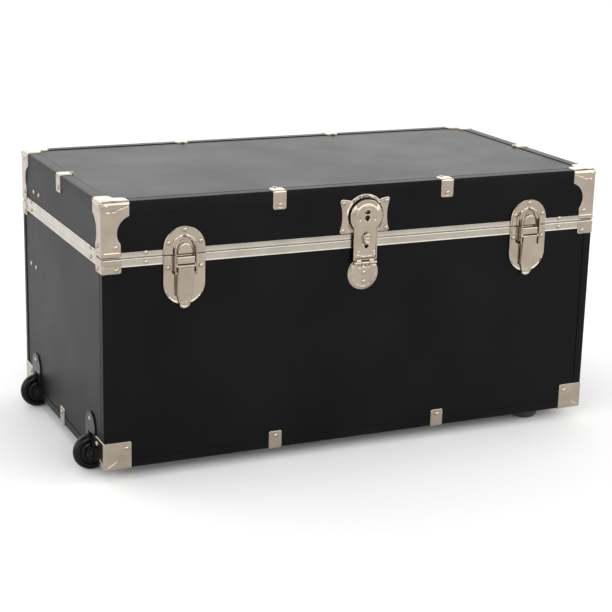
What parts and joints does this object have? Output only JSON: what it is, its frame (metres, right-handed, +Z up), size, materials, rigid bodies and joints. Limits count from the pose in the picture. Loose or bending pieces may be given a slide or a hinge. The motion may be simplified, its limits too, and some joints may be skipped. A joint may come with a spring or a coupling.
{
  "type": "footlocker",
  "caption": "Rectangular wheeled footlocker trunk with hinged lid, side draw latches, centre hasp lock, corner caps, edge clamps, end wheels and carrying handle.",
  "frame": {"origin": "centre of the overall footprint, on the floor that the wheels and glide feet stand on", "axes": "+X along the length to the handle end, -Y out of the front with the latches, +Z up"},
  "size_m": [0.816, 0.4208, 0.3922],
  "materials": {
    "black_board": "black vinyl-faced plywood, fine matt grain",
    "black_binding": "black vulcanised-fibre edge strip, satin",
    "nickel": "bright nickel-plated stamped steel",
    "black_moulding": "glossy black moulded plastic",
    "black_tyre": "hard black rubber, glossy",
    "dark_foot": "dark moulded plastic",
    "grip_black": "grained black moulding",
    "steel_pin": "plain steel"
  },
  "bodies": {
    "case": {"front_panel": "black_board", "back_panel": "black_board", "left_end_panel": "black_board", "right_end_panel": "black_board", "bottom_panel": "black_board", "body_rail": "nickel", "base_edge_bindings": "black_binding", "body_corner_bindings": "black_binding", "base_corner_caps": "nickel", "seam_corner_plates": "nickel", "base_edge_clamps": "nickel", "latch_base_plates": "nickel", "latch_hinge_pins": "steel_pin", "lock_base_disc": "nickel", "lock_hinge_pin": "steel_pin", "wheel_housing_front": "black_moulding", "wheel_housing_back": "black_moulding", "wheel_axles": "steel_pin", "glide_feet": "dark_foot", "handle_brackets": "nickel", "hinge_body_leaves": "nickel", "hinge_pins": "steel_pin", "stay_body_plate": "nickel", "body_trim_rivets": "nickel", "body_hardware_rivets": "nickel"},
    "lid": {"lid_top_panel": "black_board", "lid_front_panel": "black_board", "lid_back_panel": "black_board", "lid_left_panel": "black_board", "lid_right_panel": "black_board", "lid_rail": "nickel", "lid_edge_bindings": "black_binding", "lid_corner_caps": "nickel", "lid_edge_clamps": "nickel", "latch_catch_plates": "nickel", "lock_strike_plate": "nickel", "hinge_lid_leaves": "nickel", "stay_lid_plate": "nickel", "lid_trim_rivets": "nickel", "lid_hardware_rivets": "nickel"},
    "left_latch_lever": {"latch_lever_left": "nickel"},
    "right_latch_lever": {"latch_lever_right": "nickel"},
    "left_latch_loop": {"latch_loop_left": "nickel"},
    "right_latch_loop": {"latch_loop_right": "nickel"},
    "hasp": {"lock_hasp": "nickel"},
    "key_plug": {"lock_plug": "nickel"},
    "thumb_slide": {"lock_slide": "nickel"},
    "front_wheel": {"wheel_front": "black_tyre"},
    "back_wheel": {"wheel_back": "black_tyre"},
    "handle": {"handle_arms": "nickel", "handle_grip": "grip_black"},
    "stay_lower": {"stay_lower_bar": "nickel"},
    "stay_upper": {"stay_upper_bar": "nickel", "stay_elbow_rivet": "nickel"}
  },
  "joints": [
    {"name": "lid_hinge", "type": "hinge", "parent": "case", "child": "lid", "pos_m": [0, 0.2072, 0.313], "axis": [-1, 0, 0], "range_deg": [0, 85]},
    {"name": "left_latch_lever_swing", "type": "hinge", "parent": "case", "child": "left_latch_lever", "pos_m": [-0.268, -0.2058, 0.2978], "axis": [-1, 0, 0], "range_deg": [0, 125]},
    {"name": "left_latch_loop_swing", "type": "hinge", "parent": "left_latch_lever", "child": "left_latch_loop", "pos_m": [-0.268, -0.2042, 0.2888], "axis": [-1, 0, 0], "range_deg": [-125, 0]},
    {"name": "right_latch_lever_swing", "type": "hinge", "parent": "case", "child": "right_latch_lever", "pos_m": [0.268, -0.2058, 0.2978], "axis": [-1, 0, 0], "range_deg": [0, 125]},
    {"name": "right_latch_loop_swing", "type": "hinge", "parent": "right_latch_lever", "child": "right_latch_loop", "pos_m": [0.268, -0.2042, 0.2888], "axis": [-1, 0, 0], "range_deg": [-125, 0]},
    {"name": "hasp_swing", "type": "hinge", "parent": "case", "child": "hasp", "pos_m": [0, -0.2044, 0.28], "axis": [1, 0, 0], "range_deg": [0, 160]},
    {"name": "key_plug_turn", "type": "hinge", "parent": "hasp", "child": "key_plug", "pos_m": [0, -0.2048, 0.347], "axis": [0, 1, 0], "range_deg": [0, 90]},
    {"name": "thumb_slide_travel", "type": "slide", "parent": "hasp", "child": "thumb_slide", "axis": [0, 0, -1], "range_m": [0, 0.005], "stiffness_N_per_m": 120, "springref_m": -0.008},
    {"name": "front_wheel_spin", "type": "hinge", "parent": "case", "child": "front_wheel", "pos_m": [-0.382, -0.1368, 0.026], "axis": [0, 1, 0], "continuous": true},
    {"name": "back_wheel_spin", "type": "hinge", "parent": "case", "child": "back_wheel", "pos_m": [-0.382, 0.1432, 0.026], "axis": [0, 1, 0], "continuous": true},
    {"name": "handle_swing", "type": "hinge", "parent": "case", "child": "handle", "pos_m": [0.39, 0.0032, 0.235], "axis": [0, -1, 0], "range_deg": [0, 90]},
    {"name": "stay_lower_swing", "type": "hinge", "parent": "case", "child": "stay_lower", "pos_m": [-0.3728, 0.1492, 0.222], "axis": [-1, 0, 0], "range_deg": [0, 85]},
    {"name": "stay_upper_swing", "type": "hinge", "parent": "lid", "child": "stay_upper", "pos_m": [-0.3708, 0.1262, 0.337], "axis": [1, 0, 0], "range_deg": [0, 100]}
  ],
  "couplings": [
    {"joint": "left_latch_loop_swing", "follows": "left_latch_lever_swing", "ratio": -1},
    {"joint": "right_latch_loop_swing", "follows": "right_latch_lever_swing", "ratio": -1},
    {"joint": "stay_lower_swing", "follows": "lid_hinge", "ratio": 0.98499},
    {"joint": "stay_upper_swing", "follows": "lid_hinge", "ratio": 1.1706}
  ]
}
